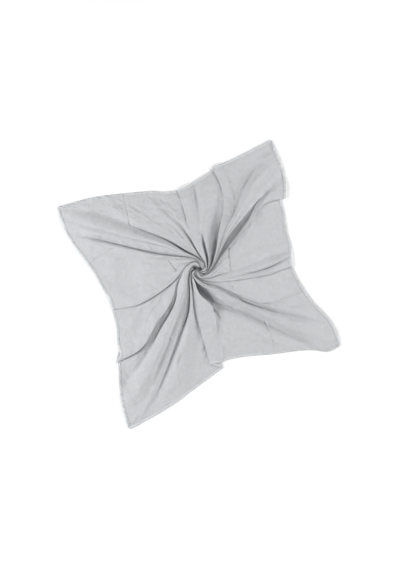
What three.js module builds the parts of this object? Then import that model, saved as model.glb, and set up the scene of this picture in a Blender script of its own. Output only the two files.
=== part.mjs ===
// A square cotton underscarf laid flat with its middle pinched and twisted, so that ridges, valleys
// and knife pleats run from a sunk swirl to the four hemmed sides. Millimetres, +Z up, resting on
// z = 0, with +X along the north side and +Y towards it.
import * as THREE from "three";

// Driving dimensions of the cloth.
const FLAT_SIDE = 900;        // side of the square when it is laid out flat
const CLOTH_THICK = 1.0;      // wall of the cloth panel
const HEM_WIDTH = 8;          // the double-turned hem
const HEM_THICK = 2.0;
const HEM_GAP = 0.4;          // between a hem and the panel, and between two hems at a corner
const TURN_GAP = 2.5;         // more that the panel keeps from a hem where a pleat turns
const LAYER_AIR = 0.6;        // air between the layers of a pleat
const MOUND_HEIGHT = 34;      // top of the tallest ridge
const CORE_RADIUS = 7;        // innermost ring of folds
const SWIRL_TWIST = 120;      // degrees that the folds still turn inside the swirl
const WELL_DEPTH = 15;        // the two small hollows of the middle
const WELL_RADIUS = 8;
const SETTLE = 0.4;           // cloth this near the ground lies flat on it
const CORE_SPREAD = 0.15;     // between the lines of a pleat where it ends in the core
const NOSE_ROUND = 5;         // how far a raised pleat edge bulges, at most
const LEAST_SPAN = 0.05;      // two lines closer than this count as this far apart

// Where the named stations lie along each fold line, from the core to the hem. Midway is halfway
// from outer to hem, and the others lie at these shares of the flat side from the swirl's centre.
const STATION = {
  core: 0, coil: 0.06, swirl: 0.13, throat: 0.2, inner: 0.32, outer: 0.6, midway: 0.8, hem: 1,
};
const REACH = { swirl: 0.049, throat: 0.085, inner: 0.14, outer: 0.26 };
const RING_SHARES = [0, 0.04, 0.08, 0.13, 0.17, 0.21, 0.26, 0.32, 0.4, 0.5, 0.61, 0.73, 0.87, 1];

// Shares that shape the folds.
const CORE_RISE = 0.5;        // height of the core, as a share of the mound
const COIL_BLEND = 0.55;      // how much of its swirl height a fold keeps at the coil
const COIL_LAG = 0.5;         // share of the twist that is made by the coil
const SHARP_SLOPE = 2.2;      // how much steeper than its chord the steepest fold starts
const NOSE_SHARE = 0.45;      // of a pleat's rise, how much its rounded edge takes
const TUCK_AT_SWIRL = 0.002;  // reach of a pleat's under layer where it enters the swirl
const CORNER_MELT = [0.8, 0.97];  // stations between which a corner of the square turns sharp
const HEM_PIECES = 2;         // straight pieces between one fold line and the next
const FOLD_STEP = 0.02;       // step in station for a fold line's direction
const EDGE_STEP = 0.01;       // the same at the hem
const COLUMN_STEP = 0.05;     // step in share between two columns

// The two hollows beside the centre, as shares of the swirl's radius.
const WELLS = [
  { x: -0.28, y: 0.22, depth: 1 },
  { x: 0.14, y: 0, depth: 0.85 },
];

// One row for each fold line, clockwise from the north-west corner: the plan place of its hem, as
// shares of the flat side from the swirl's centre, its bearing in degrees from +X at midway, outer,
// inner, throat and swirl, its rise at hem, midway, outer, inner, throat and swirl, as shares of the
// mound, and how crisp it is, from 0 for a round fold to 1 for a sharp one.
const FOLDS = [
  { name: "corner_north_west", hem: [-0.428, 0.389], bearing: [132.3, 127, 117.3, 109.5, 88],
    rise: [0.03, 0.08, 0.05, 0.24, 0.24, 0.44], crisp: 0.6 },
  { name: "north_lap_edge", hem: [-0.3, 0.382], bearing: [124.5, 123, 112.5, 104, 81],
    rise: [0.03, 0.2, 0.42, 0.62, 0.68, 0.76], crisp: 0.1 },
  { name: "north_sheet", hem: [-0.17, 0.357], bearing: [114.5, 111, 101, 93.5, 75.5],
    rise: [0, 0.1, 0.2, 0.55, 0.66, 0.75], crisp: 0 },
  { name: "north_low_ridge", hem: [-0.115, 0.344], bearing: [106, 104.5, 95.5, 87, 71.5],
    rise: [0, 0.12, 0.24, 0.56, 0.68, 0.78], crisp: 0 },
  { name: "north_dart", hem: [-0.08, 0.3355], bearing: [102.5, 101, 91.5, 82.8, 68.5],
    rise: [0.01, 0.1, 0.24, 0.34, 0.42, 0.62], crisp: 0.8 },
  { name: "north_inlet", hem: [-0.025, 0.314], bearing: [96, 95, 88.3, 81.3, 66],
    rise: [0.02, 0.1, 0.2, 0.45, 0.56, 0.68], crisp: 0.1 },
  { name: "north_pleat", hem: [0.018, 0.308], bearing: [86.3, 86, 84.3, 79.3, 62],
    rise: [0.12, 0.22, 0.32, 0.64, 0.76, 0.82], crisp: 0 },
  { name: "north_pleat_back", hem: [0.055, 0.3085], bearing: [79.3, 78.5, 75, 69, 49],
    rise: [0.17, 0.32, 0.4, 0.66, 0.78, 0.88], crisp: 0 },
  { name: "north_slot", hem: [0.077, 0.3155], bearing: [75.1, 74.3, 68.5, 56.8, 33],
    rise: [0, 0.02, 0.1, 0.54, 0.05, 0.1], crisp: 0.6 },
  { name: "north_middle_sheet", hem: [0.115, 0.3225], bearing: [68.8, 66.5, 61.5, 51, 23],
    rise: [0.06, 0.22, 0.32, 0.6, 0.66, 0.74], crisp: 0 },
  { name: "north_east_trough", hem: [0.15, 0.333], bearing: [59.5, 54.3, 47.8, 36.5, 5],
    rise: [0, 0.12, 0.1, 0.02, 0.04, 0.2], crisp: 0.7 },
  { name: "quarter_pleat", hem: [0.166, 0.3455], bearing: [56.8, 51, 41, 26, -1],
    rise: [0.12, 0.28, 0.4, 0.78, 0.82, 0.85], crisp: 0 },
  { name: "quarter_pleat_back", hem: [0.193, 0.348], bearing: [54.2, 46, 38, 23.5, -3.5],
    rise: [0.13, 0.28, 0.42, 0.84, 0.86, 0.88], crisp: 0 },
  { name: "north_east_dip", hem: [0.214, 0.349], bearing: [51.2, 41.5, 34.5, 20, -7],
    rise: [0, 0.2, 0.44, 0.82, 0.84, 0.84], crisp: 0.2 },
  { name: "corner_north_east", hem: [0.409, 0.3745], bearing: [42.6, 40.2, 33.6, 18.8, -9],
    rise: [0.03, 0.08, 0.42, 0.84, 0.86, 0.84], crisp: 0.1 },
  { name: "north_east_ridge", hem: [0.413, 0.294], bearing: [39, 36.8, 31.8, 18.4, -9.5],
    rise: [0.08, 0.62, 0.8, 0.98, 0.96, 0.94], crisp: 0.3 },
  { name: "north_east_crease", hem: [0.414, 0.277], bearing: [36.3, 35, 30.4, 17.4, -10.5],
    rise: [0.05, 0.48, 0.7, 0.86, 0.9, 0.9], crisp: 0 },
  { name: "north_east_shoulder", hem: [0.4145, 0.26], bearing: [33.4, 33, 29.3, 16.4, -12],
    rise: [0.06, 0.52, 0.66, 0.84, 0.84, 0.82], crisp: 0 },
  { name: "east_trough", hem: [0.414, 0.24], bearing: [30.7, 30.8, 27.6, 15, -15],
    rise: [0.03, 0.1, 0.03, 0, 0.06, 0.3], crisp: 0.9 },
  { name: "east_trough_foot", hem: [0.4135, 0.227], bearing: [29.4, 26.6, 19.8, 10.6, -18],
    rise: [0.03, 0.1, 0.03, 0, 0.06, 0.3], crisp: 0.9 },
  { name: "north_east_pleat_back", hem: [0.407, 0.195], bearing: [27.8, 25.2, 18.6, 9.1, -21.5],
    rise: [0.11, 0.28, 0.44, 0.66, 0.7, 0.7], crisp: 0 },
  { name: "north_east_pleat", hem: [0.393, 0.151], bearing: [26.6, 24.2, 17.3, 7.4, -24],
    rise: [0.12, 0.3, 0.46, 0.7, 0.74, 0.74], crisp: 0 },
  { name: "east_upper_sheet", hem: [0.371, 0.106], bearing: [19, 18, 11, 0, -40],
    rise: [0, 0.12, 0.22, 0.56, 0.66, 0.72], crisp: 0 },
  { name: "east_sheet", hem: [0.3585, 0.03], bearing: [5, 3.5, -4, -15, -53],
    rise: [0, 0.06, 0.12, 0.46, 0.58, 0.68], crisp: 0 },
  { name: "east_small_dart", hem: [0.351, -0.041], bearing: [-8, -9, -19.7, -32, -63],
    rise: [0.02, 0.08, 0.12, 0.3, 0.3, 0.4], crisp: 0.5 },
  { name: "east_ridge", hem: [0.345, -0.055], bearing: [-11.2, -15.4, -26, -36, -69],
    rise: [0.1, 0.36, 0.4, 0.5, 0.52, 0.6], crisp: 0 },
  { name: "east_slot", hem: [0.342, -0.063], bearing: [-13.2, -17.1, -28.5, -40, -72],
    rise: [0.07, 0.08, 0.04, 0.4, 0.5, 0.52], crisp: 0.4 },
  { name: "east_crest", hem: [0.339, -0.071], bearing: [-15.2, -19.9, -30.5, -42.5, -75],
    rise: [0.12, 0.34, 0.4, 0.5, 0.52, 0.55], crisp: 0 },
  { name: "east_pleat", hem: [0.3345, -0.0985], bearing: [-19, -22.7, -35.2, -51, -81],
    rise: [0.1, 0.2, 0.26, 0.46, 0.5, 0.52], crisp: 0 },
  { name: "east_lower_sheet", hem: [0.338, -0.13], bearing: [-24, -28, -42, -56, -85],
    rise: [0, 0.06, 0.12, 0.42, 0.48, 0.52], crisp: 0 },
  { name: "east_quarter_crease", hem: [0.349, -0.196], bearing: [-39.4, -46.5, -54, -62.5, -89],
    rise: [0.05, 0.12, 0.2, 0.5, 0.54, 0.58], crisp: 0.5 },
  { name: "south_east_dip", hem: [0.368, -0.25], bearing: [-39.9, -48, -55.2, -64, -90.5],
    rise: [0, 0.06, 0.16, 0.48, 0.52, 0.58], crisp: 0 },
  { name: "south_east_low_ridge", hem: [0.387, -0.293], bearing: [-41.2, -49.2, -56.4, -65, -91.5],
    rise: [0.03, 0.16, 0.24, 0.5, 0.55, 0.6], crisp: 0 },
  { name: "south_east_groove", hem: [0.404, -0.334], bearing: [-45.2, -51.4, -59.2, -68.5, -94],
    rise: [0.03, 0.06, 0.14, 0.48, 0.54, 0.54], crisp: 0.8 },
  { name: "south_east_ridge", hem: [0.4106, -0.375], bearing: [-47, -53.2, -62, -73, -110],
    rise: [0.09, 0.66, 0.74, 0.9, 0.9, 0.9], crisp: 0.1 },
  { name: "corner_south_east", hem: [0.412, -0.436], bearing: [-50.8, -55.8, -67.5, -78, -114],
    rise: [0.02, 0.52, 0.64, 0.8, 0.84, 0.86], crisp: 0.2 },
  { name: "south_east_hem_turn", hem: [0.355, -0.4415], bearing: [-53, -56.9, -69.8, -80.5, -115.5],
    rise: [0.05, 0.3, 0.34, 0.44, 0.5, 0.7], crisp: 0 },
  { name: "south_trough", hem: [0.325, -0.427], bearing: [-55, -59.2, -74.5, -84.5, -117],
    rise: [0, 0.02, 0.02, 0.14, 0.2, 0.26], crisp: 0.2 },
  { name: "south_sheet", hem: [0.165, -0.3875], bearing: [-69, -74, -87.6, -90.5, -119.5],
    rise: [0, 0.02, 0.04, 0.03, 0, 0.05], crisp: 0 },
  { name: "flap_foot", hem: [-0.02, -0.3535], bearing: [-91.5, -92.5, -91, -111, -128],
    rise: [0, 0.02, 0.05, 0.04, 0.02, 0.06], crisp: 0.3 },
  { name: "flap_ridge", hem: [-0.031, -0.3535], bearing: [-93.5, -94, -90.5, -109.5, -127],
    rise: [0.13, 0.17, 0.18, 0.44, 0.74, 0.85], crisp: 0.2 },
  { name: "south_pleat", hem: [-0.073, -0.344], bearing: [-103.2, -105, -114.5, -122.2, -139],
    rise: [0.12, 0.2, 0.3, 0.6, 0.68, 0.74], crisp: 0 },
  { name: "south_dip", hem: [-0.172, -0.4215], bearing: [-110.5, -108.2, -116.4, -124, -141.5],
    rise: [0, 0.08, 0.14, 0.5, 0.58, 0.3], crisp: 0 },
  { name: "south_ridge", hem: [-0.2286, -0.439], bearing: [-118.4, -119, -121.7, -130.5, -152],
    rise: [0.05, 0.4, 0.55, 0.88, 0.9, 0.86], crisp: 0 },
  { name: "south_west_trough", hem: [-0.372, -0.473], bearing: [-127, -125.2, -123, -131.8, -156],
    rise: [0, 0.04, 0.02, 0.06, 0.14, 0.3], crisp: 0.5 },
  { name: "south_west_lip", hem: [-0.405, -0.479], bearing: [-128.4, -127.4, -127, -135, -160],
    rise: [0.02, 0.34, 0.48, 0.56, 0.66, 0.62], crisp: 0 },
  { name: "corner_south_west", hem: [-0.438, -0.4825], bearing: [-130.4, -131.7, -134.5, -140.5, -163.5],
    rise: [0.02, 0.3, 0.46, 0.7, 0.78, 0.72], crisp: 0.1 },
  { name: "south_west_ridge", hem: [-0.4335, -0.396], bearing: [-134.5, -135, -140, -147, -174],
    rise: [0.09, 0.75, 0.85, 0.96, 0.92, 0.88], crisp: 0 },
  { name: "west_lip", hem: [-0.428, -0.355], bearing: [-138.7, -139.8, -144.4, -158, -194],
    rise: [0.05, 0.6, 0.7, 0.84, 0.84, 0.82], crisp: 0 },
  { name: "west_trough", hem: [-0.424, -0.335], bearing: [-140.2, -141.4, -146.2, -168, -207.5],
    rise: [0.02, 0.04, 0.02, 0.38, 0.62, 0.66], crisp: 0.8 },
  { name: "south_west_pleat", hem: [-0.405, -0.233], bearing: [-144.6, -146.4, -151, -171, -209],
    rise: [0.1, 0.36, 0.5, 0.6, 0.68, 0.68], crisp: 0 },
  { name: "south_west_pleat_back", hem: [-0.379, -0.206], bearing: [-148.5, -149.5, -153.5, -173, -210.5],
    rise: [0.12, 0.3, 0.42, 0.58, 0.66, 0.68], crisp: 0 },
  { name: "west_low_groove", hem: [-0.376, -0.166], bearing: [-153.5, -155.2, -165.5, -175.5, -211.7],
    rise: [0, 0.08, 0.16, 0.44, 0.54, 0.58], crisp: 0 },
  { name: "west_lower_sheet", hem: [-0.363, -0.115], bearing: [-161, -161.5, -167.7, -177, -212.5],
    rise: [0, 0.1, 0.18, 0.42, 0.54, 0.6], crisp: 0 },
  { name: "west_pleat", hem: [-0.354, -0.04], bearing: [-171, -168.3, -169.5, -178.2, -214],
    rise: [0.1, 0.2, 0.34, 0.6, 0.66, 0.66], crisp: 0 },
  { name: "west_pleat_back", hem: [-0.352, 0], bearing: [-178.5, -176.5, -177, -183.5, -217.5],
    rise: [0.09, 0.16, 0.24, 0.5, 0.6, 0.64], crisp: 0 },
  { name: "west_dip", hem: [-0.363, 0.041], bearing: [-186.2, -186.5, -189, -195.5, -224],
    rise: [0, 0.06, 0.12, 0.42, 0.5, 0.58], crisp: 0 },
  { name: "west_sheet", hem: [-0.3755, 0.106], bearing: [-197, -198.5, -202.5, -209, -232.5],
    rise: [0, 0.08, 0.16, 0.5, 0.6, 0.68], crisp: 0 },
  { name: "west_quarter_crease", hem: [-0.3915, 0.164], bearing: [-205.5, -207.5, -212.5, -221, -243.5],
    rise: [0.05, 0.16, 0.26, 0.56, 0.66, 0.72], crisp: 0.2 },
  { name: "west_upper_lip", hem: [-0.4235, 0.268], bearing: [-213.4, -214.4, -219, -230.5, -257],
    rise: [0.03, 0.38, 0.5, 0.66, 0.7, 0.74], crisp: 0.2 },
  { name: "north_west_groove", hem: [-0.427, 0.285], bearing: [-215, -216.2, -221.4, -233, -258.5],
    rise: [0.03, 0.05, 0.04, 0.1, 0.22, 0.4], crisp: 0.9 },
  { name: "north_west_ridge", hem: [-0.4285, 0.325], bearing: [-218.4, -222, -231, -239, -263.5],
    rise: [0.12, 0.64, 0.76, 0.92, 0.92, 0.9], crisp: 0.1 },
  { name: "north_west_crease", hem: [-0.43, 0.342], bearing: [-220.4, -224, -233.2, -242, -266],
    rise: [0.08, 0.54, 0.66, 0.82, 0.86, 0.86], crisp: 0 },
  { name: "north_west_upper_ridge", hem: [-0.43, 0.362], bearing: [-222.2, -226.2, -237, -246.5, -269.5],
    rise: [0.05, 0.58, 0.7, 0.86, 0.88, 0.88], crisp: 0 },
];

// The knife pleats among them. facing is 1 where the cloth after the edge lies on top, going
// clockwise, and -1 where the cloth before it does. The under layer reaches tuck behind the edge at
// hem, outer and inner, its hem lies drop nearer the centre, and under is its rise.
const PLEATS = {
  north_pleat: {
    facing: 1, tuck: [0.038, 0.034, 0.012], drop: 0.009,
    under: [0, 0.1, 0.22, 0.56, 0.68, 0.76],
  },
  quarter_pleat: {
    facing: 1, tuck: [0.026, 0.024, 0.008], drop: 0.009,
    under: [0, 0.12, 0.28, 0.05, 0.1, 0.2],
  },
  north_east_pleat: {
    facing: -1, tuck: [0.034, 0.01, 0.005], drop: 0.02,
    under: [0, 0.12, 0.34, 0.58, 0.64, 0.66],
  },
  east_pleat: {
    facing: -1, tuck: [0.015, 0.014, 0.006], drop: 0,
    under: [0, 0.1, 0.14, 0.28, 0.32, 0.36],
  },
  south_pleat: {
    facing: -1, tuck: [0.042, 0.04, 0.02], drop: -0.03,
    under: [0, 0.03, 0.14, 0.54, 0.64, 0.7],
  },
  south_west_pleat: {
    facing: 1, tuck: [0.027, 0.012, 0.006], drop: 0.024,
    under: [0, 0.1, 0.36, 0.5, 0.6, 0.6],
  },
  west_pleat: {
    facing: 1, tuck: [0.034, 0.03, 0.012], drop: -0.006,
    under: [0, 0.06, 0.08, 0.2, 0.4, 0.5],
  },
};

const isCorner = (fold) => fold.name.startsWith("corner");

// Cubic Hermite between two values with slopes already scaled to the stretch.
function hermite(a, slopeA, b, slopeB, s) {
  const s2 = s * s;
  const s3 = s2 * s;
  return a * (2 * s3 - 3 * s2 + 1) + slopeA * (s3 - 2 * s2 + s)
    + b * (3 * s2 - 2 * s3) + slopeB * (s3 - s2);
}

// The slope at a knot between two stretches: their weighted mean, or, for a height, one that never
// overshoots either neighbour.
function kneeSlope(stepBefore, stepAfter, spanBefore, spanAfter, monotone) {
  const before = stepBefore / spanBefore;
  const after = stepAfter / spanAfter;
  if (!monotone) return (before * spanAfter + after * spanBefore) / (spanBefore + spanAfter);
  return before * after <= 0 ? 0 : (2 * before * after) / (before + after);
}

// A smooth curve through knots [{ at, value }], evaluated at one place.
function alongKnots(knots, at, monotone) {
  let i = 0;
  while (i < knots.length - 2 && at > knots[i + 1].at) i += 1;
  const span = knots[i + 1].at - knots[i].at;
  const step = knots[i + 1].value - knots[i].value;
  const slopeAt = (j) => {
    if (j === 0 || j === knots.length - 1) return step / span;
    const back = knots[j].at - knots[j - 1].at;
    const ahead = knots[j + 1].at - knots[j].at;
    const stepBack = knots[j].value - knots[j - 1].value;
    return kneeSlope(stepBack, knots[j + 1].value - knots[j].value, back, ahead, monotone);
  };
  return hermite(knots[i].value, slopeAt(i) * span, knots[i + 1].value, slopeAt(i + 1) * span,
    (at - knots[i].at) / span);
}

function atBearing(degrees, radius) {
  const angle = THREE.MathUtils.degToRad(degrees);
  return [radius * Math.cos(angle), radius * Math.sin(angle)];
}

// The knots of a fold line in plan: straight outside the swirl, coiled inside it.
function planKnots(fold) {
  const hem = fold.hem.map((share) => share * FLAT_SIDE);
  const [midway, outer, inner, throat, swirl] = fold.bearing;
  const swirlRadius = REACH.swirl * FLAT_SIDE;
  const coilRadius = (CORE_RADIUS + swirlRadius) / 2;
  const midwayRadius = (REACH.outer * FLAT_SIDE + Math.hypot(...hem)) / 2;
  const places = {
    core: atBearing(swirl - SWIRL_TWIST, CORE_RADIUS),
    coil: atBearing(swirl - SWIRL_TWIST * COIL_LAG, coilRadius),
    swirl: atBearing(swirl, swirlRadius),
    throat: atBearing(throat, REACH.throat * FLAT_SIDE),
    inner: atBearing(inner, REACH.inner * FLAT_SIDE),
    outer: atBearing(outer, REACH.outer * FLAT_SIDE),
    midway: atBearing(midway, midwayRadius),
    hem,
  };
  return [0, 1].map((axis) => Object.entries(places).map(
    ([station, place]) => ({ at: STATION[station], value: place[axis] })));
}

const PLAN_KNOTS = new Map(FOLDS.map((fold) => [fold.name, planKnots(fold)]));

// The plan place of a fold line at station t.
function foldPlace(fold, t) {
  return PLAN_KNOTS.get(fold.name).map((knots) => alongKnots(knots, t, false));
}

// A height given at hem, midway, outer, inner, throat and swirl, carried on into the core.
function heightAlong([hem, midway, outer, inner, throat, swirl], t) {
  const coil = CORE_RISE + (swirl - CORE_RISE) * COIL_BLEND;
  const rises = { core: CORE_RISE, coil, swirl, throat, inner, outer, midway, hem };
  const knots = Object.entries(rises).map(([station, value]) => ({ at: STATION[station], value }));
  return MOUND_HEIGHT * alongKnots(knots, t, true);
}

// The unit vector across a fold line, pointing clockwise.
function across(fold, t) {
  const low = foldPlace(fold, Math.max(0, t - FOLD_STEP));
  const high = foldPlace(fold, Math.min(1, t + FOLD_STEP));
  const length = Math.hypot(high[0] - low[0], high[1] - low[1]);
  return [(high[1] - low[1]) / length, -(high[0] - low[0]) / length];
}

// Rails are the lines that the cloth is stretched between. A plain fold is one rail, and a pleat is
// six: three round its hidden turn and three round its edge. A rail gives plan place and height.
function plainRails(fold) {
  return [{
    fold, turned: false, crisp: fold.crisp, pieces: HEM_PIECES,
    at: (t) => [...foldPlace(fold, t), heightAlong(fold.rise, t)],
  }];
}

function pleatRails(fold, { facing, tuck, drop, under }) {
  const tuckKnots = [
    { at: STATION.core, value: 0 },
    { at: STATION.swirl, value: TUCK_AT_SWIRL },
    { at: STATION.inner, value: tuck[2] },
    { at: STATION.outer, value: tuck[1] },
    { at: STATION.hem, value: tuck[0] },
  ];
  const room = (t) => Math.min(1, t / STATION.swirl);
  const layers = (t) => {
    const pitch = (HEM_THICK + LAYER_AIR) * room(t);
    const low = heightAlong(under, t);
    const top = Math.max(heightAlong(fold.rise, t), low + 2 * pitch);
    const nose = Math.max(pitch, (top - low) * NOSE_SHARE);
    return { pitch, low, top, nose };
  };
  const shifted = (t, sideways, order) => {
    const place = foldPlace(fold, t);
    const side = across(fold, t);
    const tucked = Math.min(1, Math.abs(sideways) / (4 * HEM_THICK));
    const inward = drop * FLAT_SIDE * t ** 3 * tucked;
    const move = sideways * facing * room(t) + order * CORE_SPREAD * (1 - room(t));
    return [
      place[0] + side[0] * move + side[1] * inward,
      place[1] + side[1] * move - side[0] * inward,
    ];
  };
  const rail = (order, placeAt) => ({
    fold, turned: true, crisp: 0, pieces: 1, at: (t) => placeAt(t, order * facing),
  });
  const edge = (order, level, bulge) => rail(order, (t, turn) => {
    const { top, nose } = layers(t);
    const out = Math.min(NOSE_ROUND, nose / 2);
    return [...shifted(t, out * (1 - bulge), turn), top - nose * (1 - level)];
  });
  const hidden = (order, level, bulge) => rail(order, (t, turn) => {
    const { pitch, low } = layers(t);
    const reach = alongKnots(tuckKnots, t, true) * FLAT_SIDE;
    return [...shifted(t, reach + (pitch / 2) * bulge, turn), low + pitch * level];
  });
  const rails = [
    hidden(-2.5, 0, 0), hidden(-1.5, 0.5, 1), hidden(-0.5, 1, 0),
    edge(0.5, 0, 0), edge(1.5, 0.5, 1), edge(2.5, 1, 0),
  ];
  if (facing < 0) rails.reverse();
  rails[2].pieces = HEM_PIECES;
  rails[5].pieces = HEM_PIECES;
  return rails;
}

const RAILS = FOLDS.flatMap((fold) => (
  fold.name in PLEATS ? pleatRails(fold, PLEATS[fold.name]) : plainRails(fold)));

// How far the two hollows sink the middle at a plan place.
function wellSink(x, y) {
  const swirlRadius = REACH.swirl * FLAT_SIDE;
  return WELLS.reduce((sum, well) => {
    const dx = (x - well.x * swirlRadius) / WELL_RADIUS;
    const dy = (y - well.y * swirlRadius) / WELL_RADIUS;
    return sum + WELL_DEPTH * well.depth * Math.exp(-dx * dx - dy * dy);
  }, 0);
}

// A corner of the square is sharp at the hem and melts away inside it.
function cornerSharpness(rail, t) {
  return isCorner(rail.fold) ? THREE.MathUtils.smoothstep(t, ...CORNER_MELT) : 0;
}

// The cloth's lower face over station t, share s of the way from rail i to the next one.
function clothPlace(i, s, t) {
  const count = RAILS.length;
  const rail = (k) => RAILS[(i + k + count) % count];
  const points = [-1, 0, 1, 2].map((k) => rail(k).at(t));
  const spans = [0, 1, 2].map((k) => Math.max(LEAST_SPAN, Math.hypot(
    points[k + 1][0] - points[k][0], points[k + 1][1] - points[k][1])));
  const kneeAt = (axis, k, monotone) => kneeSlope(
    points[k][axis] - points[k - 1][axis], points[k + 1][axis] - points[k][axis],
    spans[k - 1], spans[k], monotone) * spans[1];
  const planSlope = (axis, k) => {
    const own = rail(k - 1);
    const sharp = own.turned ? 1 : cornerSharpness(own, t);
    return THREE.MathUtils.lerp(kneeAt(axis, k, false), points[2][axis] - points[1][axis], sharp);
  };
  const heightSlope = (k) => {
    const own = rail(k - 1);
    if (own.turned) return 0;
    const steep = (points[2][2] - points[1][2]) * SHARP_SLOPE;
    return THREE.MathUtils.lerp(kneeAt(2, k, true), steep, own.crisp);
  };
  const [x, y] = [0, 1].map((axis) => hermite(points[1][axis], planSlope(axis, 1),
    points[2][axis], planSlope(axis, 2), s));
  const height = hermite(points[1][2], heightSlope(1), points[2][2], heightSlope(2), s);
  return [x, y, Math.max(0, height - wellSink(x, y))];
}

// Columns run round the cloth: every rail, with places between it and the next.
const COLUMNS = RAILS.flatMap((rail, i) => Array.from({ length: rail.pieces }, (_, k) => ({
  rail: i, share: k / rail.pieces, corner: k === 0 && isCorner(rail.fold),
  turned: rail.turned && (k === 0 || rail.pieces === 1),
})));

function unitToward(from, to) {
  const length = Math.hypot(to[0] - from[0], to[1] - from[1]);
  return [(to[0] - from[0]) / length, (to[1] - from[1]) / length];
}

// How far along its fold line a column meets the line that lies inset from the hem's edge.
function insetStation(column, inset) {
  const place = (share, t) => clothPlace(column.rail, column.share + share, t);
  const edge = place(0, 1);
  const back = place(0, 1 - EDGE_STEP);
  const run = [(edge[0] - back[0]) / EDGE_STEP, (edge[1] - back[1]) / EDGE_STEP];
  const along = column.turned
    ? across(RAILS[column.rail].fold, 1)
    : unitToward(edge, place(COLUMN_STEP, 1));
  return 1 - inset / Math.abs(run[0] * along[1] - run[1] * along[0]);
}

// A corner's inset place lies where the insets of its two sides meet.
function cornerPlace(column, inset) {
  const last = (column.rail + RAILS.length - 1) % RAILS.length;
  const edge = clothPlace(column.rail, 0, 1);
  const a = unitToward(edge, clothPlace(last, 1 - COLUMN_STEP, 1));
  const b = unitToward(edge, clothPlace(column.rail, COLUMN_STEP, 1));
  const reach = inset / Math.abs(a[0] * b[1] - a[1] * b[0]);
  return [edge[0] + (a[0] + b[0]) * reach, edge[1] + (a[1] + b[1]) * reach, edge[2]];
}

// The middle surface of a layer: rows of points, one row for each ring, raised by half its wall.
function middleSurface(columns, stationRows, half) {
  return stationRows.map((stations) => columns.map((column, c) => {
    const place = clothPlace(column.rail, column.share, stations[c]);
    return new THREE.Vector3(place[0], place[1], place[2] + half);
  }));
}

// Upper and lower faces: the middle surface moved half a wall along its normals, and never below
// the ground that the cloth lies on.
function facesOf(rows, half, closed) {
  const last = rows.length - 1;
  const width = rows[0].length;
  const faces = { upper: [], lower: [] };
  rows.forEach((row, r) => {
    const inner = rows[Math.max(0, r - 1)];
    const outer = rows[Math.min(last, r + 1)];
    const upper = [];
    const lower = [];
    row.forEach((point, c) => {
      const ahead = closed ? row[(c + 1) % width] : row[Math.min(width - 1, c + 1)];
      const back = closed ? row[(c + width - 1) % width] : row[Math.max(0, c - 1)];
      const around = new THREE.Vector3().subVectors(ahead, back);
      const outward = new THREE.Vector3().subVectors(outer[c], inner[c]);
      const normal = new THREE.Vector3().crossVectors(outward, around).normalize().negate();
      upper.push(point.clone().addScaledVector(normal, half));
      lower.push(point.clone().addScaledVector(normal, -half));
    });
    faces.upper.push(upper);
    faces.lower.push(lower);
  });
  faces.lower.flat().forEach((point) => { if (point.z < SETTLE) point.z = 0; });
  return faces;
}

// A closed skin round two faces that share their grid.
function skinOf(faces, closed) {
  const rows = faces.upper.length;
  const width = faces.upper[0].length;
  const points = [...faces.upper.flat(), ...faces.lower.flat()];
  const index = (face, r, c) => face * rows * width + r * width + (c % width);
  const triangles = [];
  const quad = (a, b, c, d) => triangles.push(a, b, c, a, c, d);
  const span = closed ? width : width - 1;
  for (let r = 0; r < rows - 1; r += 1) {
    for (let c = 0; c < span; c += 1) {
      quad(index(0, r, c), index(0, r, c + 1), index(0, r + 1, c + 1), index(0, r + 1, c));
      quad(index(1, r, c), index(1, r + 1, c), index(1, r + 1, c + 1), index(1, r, c + 1));
    }
  }
  for (let c = 0; c < span; c += 1) {
    const rim = rows - 1;
    quad(index(0, rim, c), index(0, rim, c + 1), index(1, rim, c + 1), index(1, rim, c));
    if (closed) continue;
    quad(index(0, 0, c), index(1, 0, c), index(1, 0, c + 1), index(0, 0, c + 1));
  }
  if (closed) closeCore(points, triangles, faces, index);
  else closeEnds(quad, rows, width, index);
  return { points, triangles };
}

// A closed ring of columns ends in a fan of triangles round the core's middle.
function closeCore(points, triangles, faces, index) {
  const width = faces.upper[0].length;
  const centre = (row) => row.reduce((sum, point) => sum.add(point), new THREE.Vector3())
    .divideScalar(width);
  const [top, bottom] = [points.length, points.length + 1];
  points.push(centre(faces.upper[0]), centre(faces.lower[0]));
  for (let c = 0; c < width; c += 1) {
    triangles.push(top, index(0, 0, c + 1), index(0, 0, c));
    triangles.push(bottom, index(1, 0, c), index(1, 0, c + 1));
  }
}

// An open strip of columns ends in a wall at each end.
function closeEnds(quad, rows, width, index) {
  const end = width - 1;
  for (let r = 0; r < rows - 1; r += 1) {
    quad(index(0, r, 0), index(0, r + 1, 0), index(1, r + 1, 0), index(1, r, 0));
    quad(index(0, r, end), index(1, r, end), index(1, r + 1, end), index(0, r + 1, end));
  }
}

// The cloth panel, from the core to the inner edge of the hems.
function clothPanel() {
  const inset = HEM_WIDTH + HEM_GAP;
  const half = CLOTH_THICK / 2;
  const ends = COLUMNS.map((column) => insetStation(column,
    column.turned ? inset + TURN_GAP : inset));
  const stationRows = RING_SHARES.map((share) => ends.map((end) => share * end));
  const rows = middleSurface(COLUMNS, stationRows, half);
  const rim = rows[rows.length - 1];
  COLUMNS.forEach((column, c) => {
    if (!column.corner) return;
    const [x, y, z] = cornerPlace(column, inset);
    rim[c].set(x, y, z + half);
  });
  return skinOf(facesOf(rows, half, true), true);
}

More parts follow.
